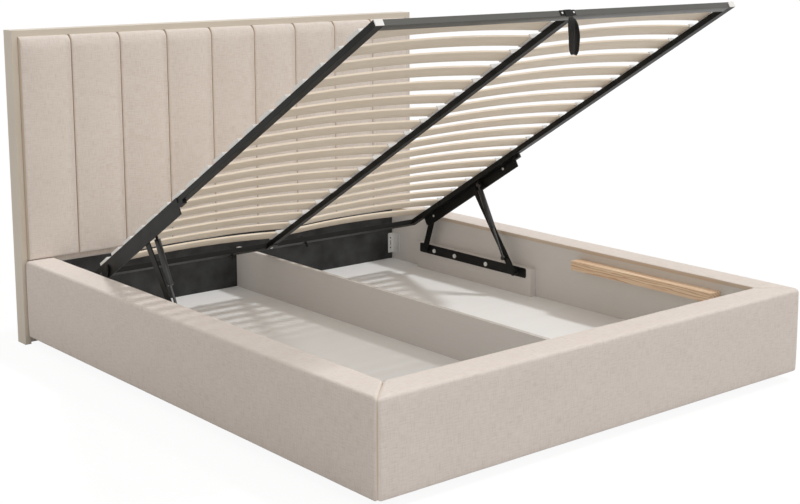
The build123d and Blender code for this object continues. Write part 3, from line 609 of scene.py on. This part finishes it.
def rail_cover(name, place, length, mitred_ends, seed):
    """place turns (distance along, distance out from the lip, height) into a point in the bed."""
    skin, inner = cover_outline()
    middle = (RAIL_HEIGHT + RAIL_GAP) / 2
    half = (RAIL_HEIGHT - RAIL_GAP) / 2
    rings, in_mitre_shade = [], []
    bm = bmesh.new()
    stations = spaced(
        length, near_start=20 * MM, near_end=20 * MM, end_step=1.6 * MM, middle_step=30 * MM
    )
    for at in stations:
        at_start = mitred_ends[0] and at < MITRE_SHADE_WIDTH
        at_stop = mitred_ends[1] and length - at < MITRE_SHADE_WIDTH
        in_mitre_shade.append(at_start or at_stop)
        start_inset = end_inset(at, MITRE_ROUND if mitred_ends[0] else END_ROUND)
        stop_inset = end_inset(length - at, MITRE_ROUND if mitred_ends[1] else END_ROUND)
        inset = max(start_inset, stop_inset)
        ring = []
        for index, (out, up) in enumerate(skin + inner):
            on_skin = index < len(skin)
            depth = out / RAIL_WIDTH
            rise = (up - middle) / half
            if on_skin:
                spot = (at, out, up)
                near_top = max(0.0, rise) ** TOP_POWER
                swell = RAIL_CROWN * (1 - min(1.0, abs(rise)) ** CROWN_POWER) * depth**CROWN_POWER
                swell += COVER_LUMPS[0] * smooth_noise(spot, COVER_LUMPS[1], seed) * depth
                swell += COVER_RIPPLES[0] * smooth_noise(spot, COVER_RIPPLES[1], seed + 3)
                top_swell = TOP_CROWN * near_top * math.sin(math.pi * depth)
                top_swell += TOP_LUMPS[0] * smooth_noise(spot, TOP_LUMPS[1], seed + 5) * near_top
            else:
                swell = top_swell = 0.0
            out_now = out + swell - inset * depth
            up_now = up + top_swell - inset * (rise if rise < 0 else rise * TOP_INSET)
            shift = RAIL_WIDTH - out
            begin = -RAIL_WIDTH + shift if mitred_ends[0] else 0.0
            finish = RAIL_WIDTH - shift if mitred_ends[1] else 0.0
            total = length + finish - begin
            ring.append(bm.verts.new(place(begin + total * at / length, out_now, up_now)))
        rings.append(ring)
    count = len(rings[0])
    for first, second in zip(rings, rings[1:]):
        for index in range(count):
            after = (index + 1) % count
            bm.faces.new((first[index], first[after], second[after], second[index]))
    for ring in (rings[0], rings[-1]):
        bm.faces.new(ring)
    piece = finish_mesh(name, bm, linen)
    # Painted shade: the inner lip and a strip at each mitre seam take the tan-brown seam colour
    seam_shade = piece.data.attributes.new("painted_seam_shade", "FLOAT", "POINT")
    on_lip = [index < LIP_POINTS or index >= count - 1 for index in range(count)]
    shares = [1.0 if lip or seam else 0.0 for seam in in_mitre_shade for lip in on_lip]
    seam_shade.data.foreach_set("value", shares)
    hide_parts(name.replace("_padding", ""))
    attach(piece, "bed")
    return piece


left_low, left_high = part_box("left_rail_cover")
foot_low, foot_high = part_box("foot_rail_cover")
lip_x = left_high.x
head_y = left_high.y - HEAD_GAP
foot_lip_y = foot_high.y
side_length = head_y - foot_lip_y - CORNER_SLIT
for side_name, side in (("left", -1), ("right", 1)):
    rail_cover(
        f"{side_name}_rail_cover_padding",
        lambda at, out, up, side=side: (side * (-lip_x + out), head_y - at, up),
        side_length,
        (False, True),
        seed=2 + side,
    )
rail_cover(
    "foot_rail_cover_padding",
    lambda at, out, up: (lip_x + CORNER_SLIT + at, foot_lip_y - out, up),
    2 * (-lip_x - CORNER_SLIT),
    (True, True),
    seed=5,
)

# Headboard channels
CHANNEL_COUNT = 9
# Columns of a channel's front: distances in mm from either edge, then even parts of the width
EDGE_COLUMNS = (0.0, 0.7, 1.6, 2.8, 4.2, 6.0, 8.5, 12.0, 17.0, 24.0, 34.0)
WIDTH_PARTS = 24
MIDDLE_COLUMNS = range(5, 20)
SEAM_DEPTH = 12 * MM
LEFT_EDGE = 9 * MM
RIGHT_EDGE = 5 * MM
WELT_HEIGHT = 3.2 * MM
WELT_PLACE = 4.5 * MM
WELT_SLOPE = 9 * MM
WELT_NOSE = 3 * MM
# Painted shade: width of the tan-brown strip at a channel's left seam, and a third of it at the right
SEAM_SHADE_WIDTH = 2.6 * MM
CHANNEL_TOP_ROUND = 46 * MM
CHANNEL_TOP_DEPTH = 19 * MM
CHANNEL_FOOT_ROUND = 10 * MM
CHANNEL_ARCH = 3 * MM
# Depth of a channel's drawn-in top corner, and its reach as a multiple of the depth
CHANNEL_CORNER = 12 * MM
CORNER_REACH = 2.4
# Part of the sides' fall that adds to the top's
SHARED_FALL = 0.3
SEAM_SLIT = 0.8 * MM
SEAM_SHADE_WIDTH_RIGHT = SEAM_SHADE_WIDTH / 3
# Unevenness of the pads: height and size of its lumps, calmed within this of an edge
PAD_LUMPS = (0.7 * MM, 90 * MM)
PAD_RIPPLES = (0.3 * MM, 30 * MM)
CALM_EDGE = 30 * MM


def round_off(distance, radius, depth):
    """How far a padded face falls back at a distance from its edge."""
    if distance >= radius:
        return 0.0
    share = 1 - distance / radius
    return depth * (1 - math.sqrt(max(0.0, 1 - share**2)))


def pad_grid(name, low, high, columns, rows, fall, seed, node, shade_seams=True):
    """Closed pad with a crowned front that faces the foot end."""
    bm = bmesh.new()
    front, back = [], []
    for z in rows:
        front_row, back_row = [], []
        for x in columns:
            y = low.y + fall(x, z)
            edge = min(x - low.x, high.x - x, high.z - z)
            calm = min(1.0, max(0.0, edge / CALM_EDGE))
            y += PAD_LUMPS[0] * smooth_noise((x, 0, z), PAD_LUMPS[1], seed) * calm
            y += PAD_RIPPLES[0] * smooth_noise((x, 0, z), PAD_RIPPLES[1], seed + 1) * calm
            front_row.append(bm.verts.new((x, y, z)))
            back_row.append(bm.verts.new((x, high.y, z)))
        front.append(front_row)
        back.append(back_row)
    for sheet in (front, back):
        for lower, upper in zip(sheet, sheet[1:]):
            for index in range(len(columns) - 1):
                bm.faces.new((lower[index], lower[index + 1], upper[index + 1], upper[index]))
    border = [(0, i) for i in range(len(columns))]
    border += [(j, len(columns) - 1) for j in range(1, len(rows))]
    border += [(len(rows) - 1, i) for i in range(len(columns) - 2, -1, -1)]
    border += [(j, 0) for j in range(len(rows) - 2, 0, -1)]
    for (j, i), (k, m) in zip(border, border[1:] + border[:1]):
        bm.faces.new((front[j][i], front[k][m], back[k][m], back[j][i]))
    piece = finish_mesh(name, bm, linen, sharp=60)
    # Painted shade: a strip along a seamed pad's two side edges takes the tan-brown seam colour
    seam_shade = piece.data.attributes.new("painted_seam_shade", "FLOAT", "POINT")
    for vertex in piece.data.vertices:
        near_left = vertex.co.x - columns[0] < SEAM_SHADE_WIDTH
        near_right = columns[-1] - vertex.co.x < SEAM_SHADE_WIDTH_RIGHT
        shown = shade_seams and (near_left or near_right)
        seam_shade.data[vertex.index].value = 1.0 if shown else 0.0
    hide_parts(node)
    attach(piece, "bed")
    return piece


# One channel's cloth is inflated over its filling; its bulge and small creases serve all nine
STUFF_VOXEL = 6 * MM
STUFF_FRAMES = 20
STUFF_PRESSURE = 4.0
STUFF_QUALITY = 5
STUFF_MASS = 0.3
STUFF_STIFFNESS = 12.0
STUFF_BENDING = 0.4
# Below nothing, so the cloth is cut a little larger than the pad
STUFF_SHRINK = -0.012
STUFF_LIMIT = 5 * MM
STUFF_CAP = 4 * STUFF_LIMIT
STUFF_HELD = 12 * MM
STUFF_NEIGHBOURS = 4


def stuffed_shape(pattern):
    """Simulates the cloth over one pad. Returns a lookup of points, their bulges and the largest."""
    start = pattern.copy()
    start.data = pattern.data.copy()
    bpy.context.scene.collection.objects.link(start)
    low_x = min(vertex.co.x for vertex in start.data.vertices)
    high_x = max(vertex.co.x for vertex in start.data.vertices)
    low_y = min(vertex.co.y for vertex in start.data.vertices)
    high_z = max(vertex.co.z for vertex in start.data.vertices)
    low_z = min(vertex.co.z for vertex in start.data.vertices)
    remesh = start.modifiers.new("remesh", "REMESH")
    remesh.mode = "VOXEL"
    remesh.voxel_size = STUFF_VOXEL
    bpy.context.view_layer.update()
    evaluated = start.evaluated_get(bpy.context.evaluated_depsgraph_get())
    remeshed = bpy.data.meshes.new_from_object(evaluated)
    start.modifiers.clear()
    start.data = remeshed
    held = start.vertex_groups.new(name="held")
    for vertex in remeshed.vertices:
        x, y, z = vertex.co
        edge = min(x - low_x, high_x - x, high_z - z, z - low_z)
        if y > low_y + STUFF_HELD or edge < STUFF_VOXEL:
            held.add([vertex.index], 1.0, "REPLACE")
    cloth = start.modifiers.new("cloth", "CLOTH")
    cloth.settings.quality = STUFF_QUALITY
    cloth.settings.mass = STUFF_MASS
    cloth.settings.tension_stiffness = STUFF_STIFFNESS
    cloth.settings.compression_stiffness = STUFF_STIFFNESS
    cloth.settings.bending_stiffness = STUFF_BENDING
    cloth.settings.shrink_min = STUFF_SHRINK
    cloth.settings.use_pressure = True
    cloth.settings.uniform_pressure_force = STUFF_PRESSURE
    cloth.settings.vertex_group_mass = "held"
    cloth.settings.effector_weights.gravity = 0.0
    cloth.collision_settings.use_collision = False
    cloth.point_cache.frame_start = 1
    cloth.point_cache.frame_end = STUFF_FRAMES
    scene = bpy.context.scene
    for moment in range(1, STUFF_FRAMES + 1):
        scene.frame_set(moment)
    evaluated = start.evaluated_get(bpy.context.evaluated_depsgraph_get())
    settled = bpy.data.meshes.new_from_object(evaluated)
    middle = (low_x + high_x) / 2
    found = []
    for before, after in zip(remeshed.vertices, settled.vertices):
        if before.co.y < low_y + STUFF_HELD:
            bulge = min(max(before.co.y - after.co.y, 0.0), STUFF_CAP)
            found.append((before.co.x - middle, before.co.z, bulge))
    scene.frame_set(1)
    bpy.data.objects.remove(start)
    lookup = kdtree.KDTree(len(found))
    for index, (x, z, bulge) in enumerate(found):
        lookup.insert((x, 0.0, z), index)
    lookup.balance()
    bulges = [bulge for x, z, bulge in found]
    return lookup, bulges, max(bulges)


def lay_stuffing(piece, stuffing, centre):
    """Adds the simulated bulge to a pad's front, never more than the limit."""
    lookup, bulges, largest = stuffing
    share = min(1.0, STUFF_LIMIT / largest)
    front_y = min(vertex.co.y for vertex in piece.data.vertices)
    for vertex in piece.data.vertices:
        if vertex.co.y > front_y + STUFF_HELD:
            continue
        near = lookup.find_n((vertex.co.x - centre, 0.0, vertex.co.z), STUFF_NEIGHBOURS)
        # The millimetre keeps a point that lies on a found one from dividing by nothing
        weight = sum(1 / (distance + MM) for place, index, distance in near)
        bulge = sum(bulges[index] / (distance + MM) for place, index, distance in near) / weight
        vertex.co.y -= bulge * share


stuffing = None
for number in range(1, CHANNEL_COUNT + 1):
    node = f"headboard_channel_{number}"
    low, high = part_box(node)
    half_width = (high.x - low.x) / 2 - SEAM_SLIT
    centre = (high.x + low.x) / 2
    inward = [half_width * 2 * part / WIDTH_PARTS for part in MIDDLE_COLUMNS]
    columns = [low.x + SEAM_SLIT + at * MM for at in EDGE_COLUMNS]
    columns += [low.x + SEAM_SLIT + at for at in inward]
    columns += [high.x - SEAM_SLIT - at * MM for at in reversed(EDGE_COLUMNS)]
    heights = spaced(
        high.z - low.z, near_start=12 * MM, near_end=50 * MM, end_step=3 * MM, middle_step=10 * MM
    )
    rows = [low.z + at for at in heights]

    def channel_fall(x, z):
        from_left = x - centre + half_width
        from_right = half_width * 2 - from_left
        arch = CHANNEL_ARCH * ((x - centre) / half_width) ** 2
        left = round_off(from_left, LEFT_EDGE, SEAM_DEPTH)
        right = round_off(from_right, RIGHT_EDGE, SEAM_DEPTH)
        top = round_off(high.z - z, CHANNEL_TOP_ROUND, CHANNEL_TOP_DEPTH)
        foot = round_off(z - low.z, CHANNEL_FOOT_ROUND, CHANNEL_FOOT_ROUND)
        from_corner = math.hypot(from_right, high.z - z)
        corner = max(0.0, 1 - from_corner / (CORNER_REACH * CHANNEL_CORNER))
        crest = from_right - WELT_PLACE
        slope = WELT_SLOPE if crest > 0 else WELT_NOSE
        welt = WELT_HEIGHT * math.exp(-((crest / slope) ** 2))
        fall = arch + max(left, right, top, foot) + SHARED_FALL * min(left + right, top)
        return fall + CHANNEL_CORNER * corner**2 - welt

    pad_name = f"channel_{number}_padding"
    piece = pad_grid(pad_name, low, high, columns, rows, channel_fall, number, node)
    if stuffing is None:
        stuffing = stuffed_shape(piece)
    if stuffing:
        lay_stuffing(piece, stuffing, centre)

# Lower headboard panel
PANEL_ROUND = 12 * MM

low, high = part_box("headboard_lower_panel")
panel_across = spaced(
    high.x - low.x, near_start=20 * MM, near_end=20 * MM, end_step=2 * MM, middle_step=50 * MM
)
panel_up = spaced(
    high.z - low.z, near_start=20 * MM, near_end=10 * MM, end_step=2 * MM, middle_step=30 * MM
)


def lower_panel_fall(x, z):
    edge = min(x - low.x, high.x - x, z - low.z)
    return round_off(edge, PANEL_ROUND, PANEL_ROUND)


pad_grid(
    "lower_panel_padding",
    low,
    high,
    [low.x + at for at in panel_across],
    [low.z + at for at in panel_up],
    lower_panel_fall,
    seed=11,
    node="headboard_lower_panel",
    shade_seams=False,
)

# Pull strap: one band of webbing, pinched in the clip, that drops in front and comes back up behind
STRAP_THICK = 1.8 * MM
STRAP_CUP = 1.5 * MM
STRAP_STEPS = 12
# The band's section: across it from -1 to 1 on one face, and back on the other
STRAP_SECTION = [(across, -1) for across in (-1, -0.5, 0, 0.5, 1)]
STRAP_SECTION += [(across, 1) for across in (1, 0.5, 0, -0.5, -1)]
# In mm across, towards the foot end, down, and the band's width, then its turn in degrees
STRAP_PATH = (
    (-21, 1, 0, 15, 0),
    (-21, 4, 12, 19, -30),
    (-21, 7, 28, 22, -62),
    (-21, 9, 56, 24, -88),
    (-20, 9, 88, 24, -94),
    (-17, 9, 106, 23, -98),
    (-10, 8, 114, 22, -98),
    (-3, 8, 106, 23, -98),
    (0, 8, 88, 24, -98),
    (0, 9, 62, 25, -94),
    (-5, 8, 36, 24, -80),
    (-11, 4, 14, 20, -40),
    (-14, -2, 0, 14, 0),
)

low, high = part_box("pull_strap")
strap_x = (low.x + high.x) / 2
strap_y = (low.y + high.y) / 2


def smooth_between(before, first, second, after, share):
    """A point on the smooth curve from first to second."""
    base = [2 * value for value in first]
    slope = [value - was for value, was in zip(second, before)]
    square = [2 * p - 5 * q + 4 * v - w for p, q, v, w in zip(before, first, second, after)]
    cube = [-p + 3 * q - 3 * v + w for p, q, v, w in zip(before, first, second, after)]
    parts = zip(base, slope, square, cube)
    return [0.5 * (a + b * share + c * share**2 + d * share**3) for a, b, c, d in parts]


path = []
for index in range(len(STRAP_PATH) - 1):
    before = STRAP_PATH[max(0, index - 1)]
    first, second = STRAP_PATH[index : index + 2]
    after = STRAP_PATH[min(len(STRAP_PATH) - 1, index + 2)]
    for step in range(STRAP_STEPS):
        path.append(smooth_between(before, first, second, after, step / STRAP_STEPS))
path.append(STRAP_PATH[-1])
places = []
for x, y, down, width, turn in path:
    places.append(Vector((strap_x + x * MM, strap_y - y * MM, high.z - down * MM)))
bm = bmesh.new()
rings = []
for index, (x, y, down, width, turn) in enumerate(path):
    ahead = places[min(index + 1, len(places) - 1)] - places[max(index - 1, 0)]
    wide = Vector((math.cos(math.radians(turn)), math.sin(math.radians(turn)), 0.0))
    thick = ahead.cross(wide).normalized()
    wide = thick.cross(ahead).normalized()
    ring = []
    for across, through in STRAP_SECTION:
        point = places[index] + wide * across * width * MM / 2
        point += thick * (through * STRAP_THICK / 2 + STRAP_CUP * across**2)
        ring.append(bm.verts.new(point))
    rings.append(ring)
for first, second in zip(rings, rings[1:]):
    for index in range(len(first)):
        after = (index + 1) % len(first)
        bm.faces.new((first[index], first[after], second[after], second[index]))
for ring in (rings[0], rings[-1]):
    bm.faces.new(ring)
strap = finish_mesh("strap_webbing", bm, webbing, sharp=50)
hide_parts("pull_strap")
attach(strap, "pull_strap")

# Materials and softened edges of the rigid nodes
WELD_DISTANCE = 0.01 * MM
EDGE_SEGMENTS = 2
EDGE_ANGLE = 40
# Each slot's material, and the width in mm of its softened edges
FINISHES = {
    "border_paint": (border_paint, 0.0),
    "back_cloth": (back_cloth, 0.8),
    "board": (board, 0.5),
    "grey_laminate": (grey_laminate, 0.7),
    "white_laminate": (white_laminate, 0.5),
    "dark_felt": (felt, 1.0),
    "pine": (pine, 1.6),
    "black_plastic": (black_plastic, 1.5),
    "black_steel": (black_steel, 0.8),
    "white_plastic": (white_plastic, 0.4),
    "birch": (birch, 1.6),
    "bright_steel": (zinc, 0.5),
    "rod_steel": (rod_steel, 0.4),
    "linen": (linen, 0.0),
    "black_webbing": (webbing, 0.0),
}
for part in frame["record"]["subparts"]:
    name = part["node"]
    material, edge = FINISHES[part["material_slot"]]
    node_object = nodes[name]
    if name.endswith("gas_cylinder"):
        material = gas_tube
    # Painted sheen: the foot bar, black steel like the rest of the frame, takes the lighter grey copy
    if name == "frame_foot_bar":
        material = foot_bar_painted_sheen
    for place in node_object.material_slots:
        place.material = material
    if edge and not node_object.hide_render:
        weld = node_object.modifiers.new("weld", "WELD")
        weld.merge_threshold = WELD_DISTANCE
        bevel = node_object.modifiers.new("edges", "BEVEL")
        bevel.width = edge * MM
        bevel.segments = EDGE_SEGMENTS
        bevel.limit_method = "ANGLE"
        bevel.angle_limit = math.radians(EDGE_ANGLE)
        bevel.harden_normals = True

# Lamps, world and floor. Each far lamp: turn in degrees, softness in degrees, power, colour
LAMPS = {
    "sun": ((0.0, 31.0, -13.0), 6.5, 1.25, (1.0, 1.0, 1.0)),
    "foot_fill": ((0.0, 61.3, -84.3), 35.0, 0.42, (1.0, 0.99, 0.98)),
    "left_fill": ((0.0, -82.0, 10.0), 40.0, 0.17, (1.0, 0.88, 0.75)),
}
SKY_LEVEL = 0.56
SKY_TONE = (1.0, 0.950, 0.895)
# White glow laid over the seen floor: its share and its level
VEIL = 0.90
VEIL_LEVEL = 1.03
FLOOR_ROUGHNESS = 0.9
FLOOR_SIZE = 30

for name, (turn, softness, power, tone) in LAMPS.items():
    lamp_data = bpy.data.lights.new(name, "SUN")
    lamp_data.energy = power
    lamp_data.angle = math.radians(softness)
    lamp_data.color = tone
    lamp = bpy.data.objects.new(name, lamp_data)
    lamp.rotation_euler = [math.radians(angle) for angle in turn]
    bpy.context.scene.collection.objects.link(lamp)

world = bpy.data.worlds.new("studio")
bpy.context.scene.world = world
world.use_nodes = True
tree = world.node_tree
tree.nodes.clear()
rays = add(tree, "ShaderNodeLightPath")


def seen_directly(tree, rays):
    """1 for what the camera sees, also by reflection or through glass, and 0 for what lights the bed."""
    seen = maths(tree, "MAXIMUM", rays.outputs["Is Camera Ray"], rays.outputs["Is Glossy Ray"])
    return maths(tree, "MAXIMUM", seen, rays.outputs["Is Transmission Ray"])


lit = add(tree, "ShaderNodeBackground", {0: SKY_TONE, 1: SKY_LEVEL})
shown = add(tree, "ShaderNodeBackground", {0: WHITE, 1: 1.0})
seen = seen_directly(tree, rays)
mixed = add(tree, "ShaderNodeMixShader", {0: seen, 1: lit.outputs[0], 2: shown.outputs[0]})
add(tree, "ShaderNodeOutputWorld", {0: mixed.outputs[0]})

floor_material, tree, shader = new_material("studio_floor")
shader.inputs["Roughness"].default_value = FLOOR_ROUGHNESS
shader.inputs["Specular IOR Level"].default_value = 0.0
rays = add(tree, "ShaderNodeLightPath")
seen = seen_directly(tree, rays)
floor_tone = maths(tree, "MULTIPLY_ADD", seen, FLOOR_SEEN - FLOOR_BOUNCE, FLOOR_BOUNCE)
tree.links.new(floor_tone, shader.inputs["Base Color"])
glow = add(tree, "ShaderNodeEmission", {0: WHITE, 1: VEIL_LEVEL})
veil = maths(tree, "MULTIPLY", seen, VEIL)
covered = add(tree, "ShaderNodeMixShader", {0: veil, 1: shader.outputs[0], 2: glow.outputs[0]})
output = tree.nodes["Material Output"]
tree.links.new(covered.outputs[0], output.inputs[0])
bm = bmesh.new()
bmesh.ops.create_grid(bm, x_segments=1, y_segments=1, size=FLOOR_SIZE)
floor = finish_mesh("studio_floor", bm, floor_material)
floor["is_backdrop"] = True

low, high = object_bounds()
